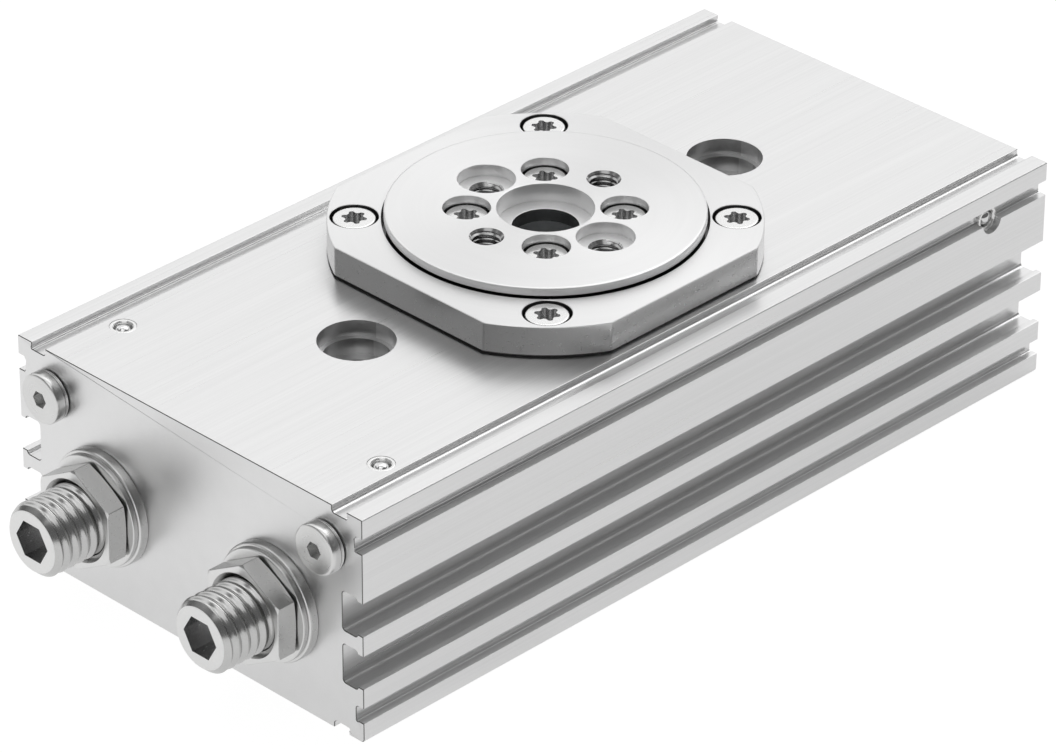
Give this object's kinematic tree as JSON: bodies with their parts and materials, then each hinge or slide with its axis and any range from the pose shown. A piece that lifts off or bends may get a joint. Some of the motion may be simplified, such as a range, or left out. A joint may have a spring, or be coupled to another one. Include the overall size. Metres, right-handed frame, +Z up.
{
  "type": "semi-rotary actuator",
  "caption": "Flat pneumatic semi-rotary actuator: rack pistons in a slotted aluminium body swing a hollow output table half a turn.",
  "frame": {"origin": "on the output axis in the base plane, at the middle of the body", "axes": "+X along the body away from the stop screws, +Y to the far side, +Z up out of the output table"},
  "size_m": [0.1636, 0.0736, 0.0448],
  "materials": {
    "drawn_aluminium": "satin anodised, drawn lines along the length",
    "turned_aluminium": "satin anodised, fine turning lines",
    "bright_steel": "nickel plated, satin",
    "ground_steel": "ground",
    "dark_steel": "phosphated",
    "magnet_alloy": "sintered",
    "guide_plastic": "matte",
    "black_rubber": "matte",
    "buffer_rubber": "matte"
  },
  "bodies": {
    "housing_body": {"housing": "drawn_aluminium", "bearing_cover": "turned_aluminium", "cover_screws": "bright_steel", "shaft_seal": "black_rubber", "upper_outer_ring": "ground_steel", "lower_outer_ring": "ground_steel", "near_stop_bushing": "bright_steel", "near_bushing_seal": "black_rubber", "near_stop_washer": "bright_steel", "near_lock_nut": "bright_steel", "near_rear_cap": "turned_aluminium", "near_cap_seal": "black_rubber", "near_port_plug": "bright_steel", "near_port_seal": "black_rubber", "near_top_plug_sleeve": "bright_steel", "near_top_plug_ball": "ground_steel", "near_side_plug_sleeve": "bright_steel", "near_side_plug_ball": "ground_steel", "far_stop_bushing": "bright_steel", "far_bushing_seal": "black_rubber", "far_stop_washer": "bright_steel", "far_lock_nut": "bright_steel", "far_rear_cap": "turned_aluminium", "far_cap_seal": "black_rubber", "far_port_plug": "bright_steel", "far_port_seal": "black_rubber", "far_top_plug_sleeve": "bright_steel", "far_top_plug_ball": "ground_steel", "far_side_plug_sleeve": "bright_steel", "far_side_plug_ball": "ground_steel"},
    "output_table": {"table": "turned_aluminium", "table_screws": "bright_steel", "dowel_pin": "ground_steel", "pinion_shaft": "ground_steel", "retaining_ring": "dark_steel", "upper_inner_ring": "ground_steel", "lower_inner_ring": "ground_steel"},
    "upper_ball_set": {"upper_balls": "ground_steel"},
    "lower_ball_set": {"lower_balls": "ground_steel"},
    "near_rack": {"near_rack_piston": "ground_steel", "near_piston_guides": "guide_plastic", "near_piston_magnets": "magnet_alloy", "near_piston_seals": "black_rubber"},
    "near_buffer": {"near_stop_buffer": "buffer_rubber"},
    "near_screw": {"near_stop_screw": "bright_steel"},
    "far_rack": {"far_rack_piston": "ground_steel", "far_piston_guides": "guide_plastic", "far_piston_magnets": "magnet_alloy", "far_piston_seals": "black_rubber"},
    "far_buffer": {"far_stop_buffer": "buffer_rubber"},
    "far_screw": {"far_stop_screw": "bright_steel"}
  },
  "joints": [
    {"name": "table_turn", "type": "hinge", "parent": "housing_body", "child": "output_table", "pos_m": [0, 0, 0.0448], "axis": [0, 0, 1], "range_deg": [-90, 90]},
    {"name": "near_rack_slide", "type": "slide", "parent": "housing_body", "child": "near_rack", "axis": [1, 0, 0], "range_m": [-0.01885, 0.01885]},
    {"name": "far_rack_slide", "type": "slide", "parent": "housing_body", "child": "far_rack", "axis": [1, 0, 0], "range_m": [-0.01885, 0.01885]},
    {"name": "upper_balls_turn", "type": "hinge", "parent": "housing_body", "child": "upper_ball_set", "pos_m": [0, 0, 0.0345], "axis": [0, 0, 1], "range_deg": [-40.5, 40.5]},
    {"name": "lower_balls_turn", "type": "hinge", "parent": "housing_body", "child": "lower_ball_set", "pos_m": [0, 0, 0.0055], "axis": [0, 0, 1], "range_deg": [-39, 39]},
    {"name": "near_stop_feed", "type": "slide", "parent": "housing_body", "child": "near_buffer", "axis": [-1, 0, 0], "range_m": [0, 0.0035]},
    {"name": "near_stop_turn", "type": "hinge", "parent": "near_buffer", "child": "near_screw", "pos_m": [-0.08, -0.0182, 0.01635], "axis": [-1, 0, 0], "range_deg": [0, 740]},
    {"name": "far_stop_feed", "type": "slide", "parent": "housing_body", "child": "far_buffer", "axis": [-1, 0, 0], "range_m": [0, 0.0035]},
    {"name": "far_stop_turn", "type": "hinge", "parent": "far_buffer", "child": "far_screw", "pos_m": [-0.08, 0.0182, 0.01635], "axis": [-1, 0, 0], "range_deg": [0, 740]}
  ],
  "couplings": [
    {"joint": "near_rack_slide", "follows": "table_turn", "m_per_rad": 0.012},
    {"joint": "far_rack_slide", "follows": "table_turn", "m_per_rad": -0.012},
    {"joint": "upper_balls_turn", "follows": "table_turn", "ratio": 0.4488},
    {"joint": "lower_balls_turn", "follows": "table_turn", "ratio": 0.4302},
    {"joint": "near_stop_turn", "follows": "near_stop_feed", "rad_per_m": 3590.4},
    {"joint": "far_stop_turn", "follows": "far_stop_feed", "rad_per_m": 3590.4}
  ]
}
